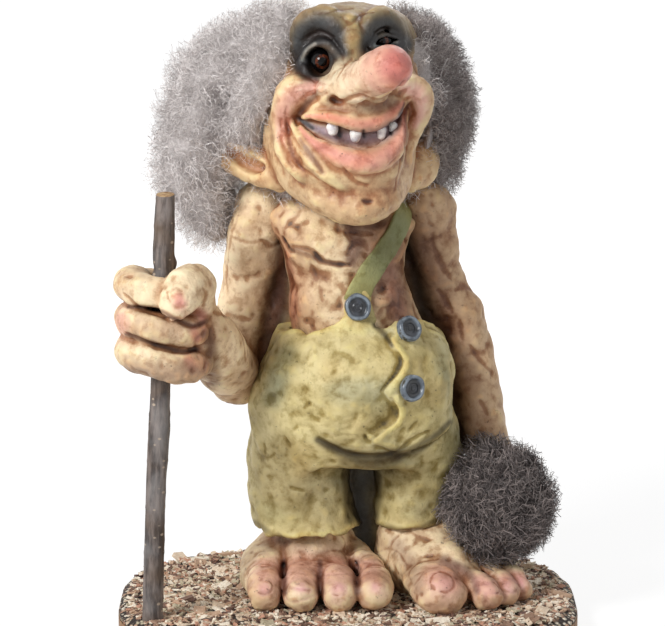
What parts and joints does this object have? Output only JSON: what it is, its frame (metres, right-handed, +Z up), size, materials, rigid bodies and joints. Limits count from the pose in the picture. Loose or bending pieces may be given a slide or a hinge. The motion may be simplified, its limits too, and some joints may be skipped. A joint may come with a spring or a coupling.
{
  "type": "folk troll figure",
  "caption": "Barefoot folk troll in one-strap trousers, leaning on a twig staff, with a woolly wig and a tail tuft, on a bark-covered board",
  "frame": {"origin": "middle of the board's underside", "axes": "+Z is up; the troll faces -Y; +X is to its left, which is the viewer's right"},
  "size_m": [0.23, 0.1797, 0.3156],
  "materials": {
    "board": "dark stained board, satin",
    "ground": "glued crumbled bark, matt",
    "bark": "bark chips of mixed brown, tan and green grey, matt",
    "screw": "zinc plated steel",
    "skin": "painted cast rubber, tan with a dark brown wash in the cracks, matt",
    "trousers": "painted cast rubber, olive green, cracked, matt",
    "strap": "painted cast rubber, olive green, matt",
    "button": "painted cast rubber, dark slate with a pale rim, satin",
    "eye": "glass eye, amber iris and black pupil, clear gloss",
    "tooth": "painted white, gloss",
    "wool": "loose grey wool",
    "wire": "bare steel wire",
    "tuft": "loose dark grey brown wool",
    "twig": "natural twig with its bark on, matt"
  },
  "bodies": {
    "root": {"base_board": "board", "ground_cover": "ground", "bark_chips": "bark", "foot_screws": "screw", "right_foot": "skin", "left_foot": "skin", "trousers": "trousers", "buttons": "button", "torso": "skin", "strap": "strap", "right_arm": "skin", "left_arm": "skin", "head": "skin", "left_eye": "eye", "right_eye": "eye", "teeth": "tooth", "hair": "wool", "tail": "skin", "tail_wire": "wire", "tail_tuft": "tuft", "staff": "twig"}
  },
  "joints": []
}
